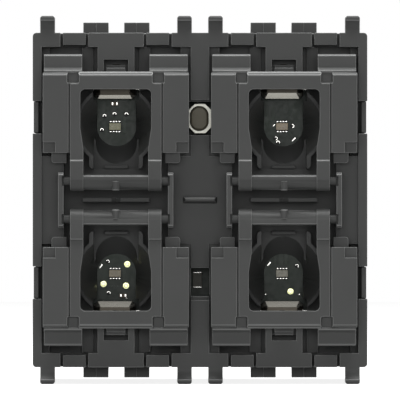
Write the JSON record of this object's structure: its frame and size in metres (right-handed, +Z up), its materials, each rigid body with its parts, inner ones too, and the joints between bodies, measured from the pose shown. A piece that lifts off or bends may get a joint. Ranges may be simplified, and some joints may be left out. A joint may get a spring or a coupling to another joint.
{
  "type": "smart push button switch",
  "caption": "Square bus push button insert without caps: hinged levers in a moulded carrier press small switches, with light wells for status LEDs and a boxed rear housing.",
  "frame": {"origin": "centre of the front, in the plane of the rear faces of the tall tabs, where the insert seats on its support frame", "axes": "+Z up, +X to the user's right, +Y into the wall, so the buttons face -Y"},
  "size_m": [0.0448, 0.0317, 0.0494],
  "materials": {
    "carrier_plastic": "dark grey moulding with a fine eroded texture",
    "lever_plastic": "dark grey moulding with a fine eroded texture",
    "housing_plastic": "dark grey moulding with a fine eroded texture",
    "board_laminate": "dark solder mask over glass laminate",
    "switch_steel": "stamped bright sheet",
    "switch_moulding": "black heat-proof moulding",
    "plunger_plastic": "brown-grey moulding",
    "led_resin": "clear resin over a pale carrier",
    "chip_ceramic": "fired ceramic with tinned ends",
    "chip_epoxy": "black moulding compound",
    "capacitor_can": "bright drawn can",
    "tinned_metal": "tin plating"
  },
  "bodies": {
    "carrier": {"buffer_capacitor": "capacitor_can", "bus_board": "board_laminate", "bus_pins": "tinned_metal", "bus_transceiver": "chip_epoxy", "chip_capacitors": "chip_ceramic", "front_board": "board_laminate", "front_carrier": "carrier_plastic", "header_block": "switch_moulding", "header_pins": "tinned_metal", "header_socket": "switch_moulding", "microcontroller": "chip_epoxy", "rear_housing": "housing_plastic", "rgb_led_lower_left": "led_resin", "rgb_led_lower_right": "led_resin", "rgb_led_upper_left": "led_resin", "rgb_led_upper_right": "led_resin", "setup_base": "switch_moulding", "setup_cover": "switch_steel", "setup_dome": "switch_steel", "setup_led": "led_resin", "switch_base_lower_left": "switch_moulding", "switch_base_lower_right": "switch_moulding", "switch_base_upper_left": "switch_moulding", "switch_base_upper_right": "switch_moulding", "switch_cover_lower_left": "switch_steel", "switch_cover_lower_right": "switch_steel", "switch_cover_upper_left": "switch_steel", "switch_cover_upper_right": "switch_steel", "switch_dome_lower_left": "switch_steel", "switch_dome_lower_right": "switch_steel", "switch_dome_upper_left": "switch_steel", "switch_dome_upper_right": "switch_steel", "switch_terminals": "tinned_metal"},
    "lever_upper_left": {"lever_upper_left": "lever_plastic"},
    "switch_plunger_upper_left": {"switch_plunger_upper_left": "plunger_plastic"},
    "lever_upper_right": {"lever_upper_right": "lever_plastic"},
    "switch_plunger_upper_right": {"switch_plunger_upper_right": "plunger_plastic"},
    "lever_lower_left": {"lever_lower_left": "lever_plastic"},
    "switch_plunger_lower_left": {"switch_plunger_lower_left": "plunger_plastic"},
    "lever_lower_right": {"lever_lower_right": "lever_plastic"},
    "switch_plunger_lower_right": {"switch_plunger_lower_right": "plunger_plastic"},
    "setup_plunger": {"setup_plunger": "plunger_plastic"}
  },
  "joints": [
    {"name": "press_upper_left", "type": "hinge", "parent": "carrier", "child": "lever_upper_left", "pos_m": [-0.01125, -0.0042, 0.00254], "axis": [-1, 0, 0], "range_deg": [0, 2]},
    {"name": "switch_stroke_upper_left", "type": "slide", "parent": "carrier", "child": "switch_plunger_upper_left", "axis": [0, 1, 0], "range_m": [0, 0.00048], "stiffness_N_per_m": 3000, "springref_m": -0.0003, "deforming": ["switch_dome_upper_left"]},
    {"name": "press_upper_right", "type": "hinge", "parent": "carrier", "child": "lever_upper_right", "pos_m": [0.01125, -0.0042, 0.00254], "axis": [-1, 0, 0], "range_deg": [0, 2]},
    {"name": "switch_stroke_upper_right", "type": "slide", "parent": "carrier", "child": "switch_plunger_upper_right", "axis": [0, 1, 0], "range_m": [0, 0.00048], "stiffness_N_per_m": 3000, "springref_m": -0.0003, "deforming": ["switch_dome_upper_right"]},
    {"name": "press_lower_left", "type": "hinge", "parent": "carrier", "child": "lever_lower_left", "pos_m": [-0.01125, -0.0042, -0.00254], "axis": [1, 0, 0], "range_deg": [0, 2]},
    {"name": "switch_stroke_lower_left", "type": "slide", "parent": "carrier", "child": "switch_plunger_lower_left", "axis": [0, 1, 0], "range_m": [0, 0.00048], "stiffness_N_per_m": 3000, "springref_m": -0.0003, "deforming": ["switch_dome_lower_left"]},
    {"name": "press_lower_right", "type": "hinge", "parent": "carrier", "child": "lever_lower_right", "pos_m": [0.01125, -0.0042, -0.00254], "axis": [1, 0, 0], "range_deg": [0, 2]},
    {"name": "switch_stroke_lower_right", "type": "slide", "parent": "carrier", "child": "switch_plunger_lower_right", "axis": [0, 1, 0], "range_m": [0, 0.00048], "stiffness_N_per_m": 3000, "springref_m": -0.0003, "deforming": ["switch_dome_lower_right"]},
    {"name": "setup_press", "type": "slide", "parent": "carrier", "child": "setup_plunger", "axis": [0, 1, 0], "range_m": [0, 0.0003], "stiffness_N_per_m": 1500, "springref_m": -0.0002, "deforming": ["setup_dome"]}
  ],
  "couplings": [
    {"joint": "press_upper_left", "follows": "switch_stroke_upper_left", "rad_per_m": 72.15},
    {"joint": "press_upper_right", "follows": "switch_stroke_upper_right", "rad_per_m": 72.15},
    {"joint": "press_lower_left", "follows": "switch_stroke_lower_left", "rad_per_m": 72.15},
    {"joint": "press_lower_right", "follows": "switch_stroke_lower_right", "rad_per_m": 72.15}
  ]
}
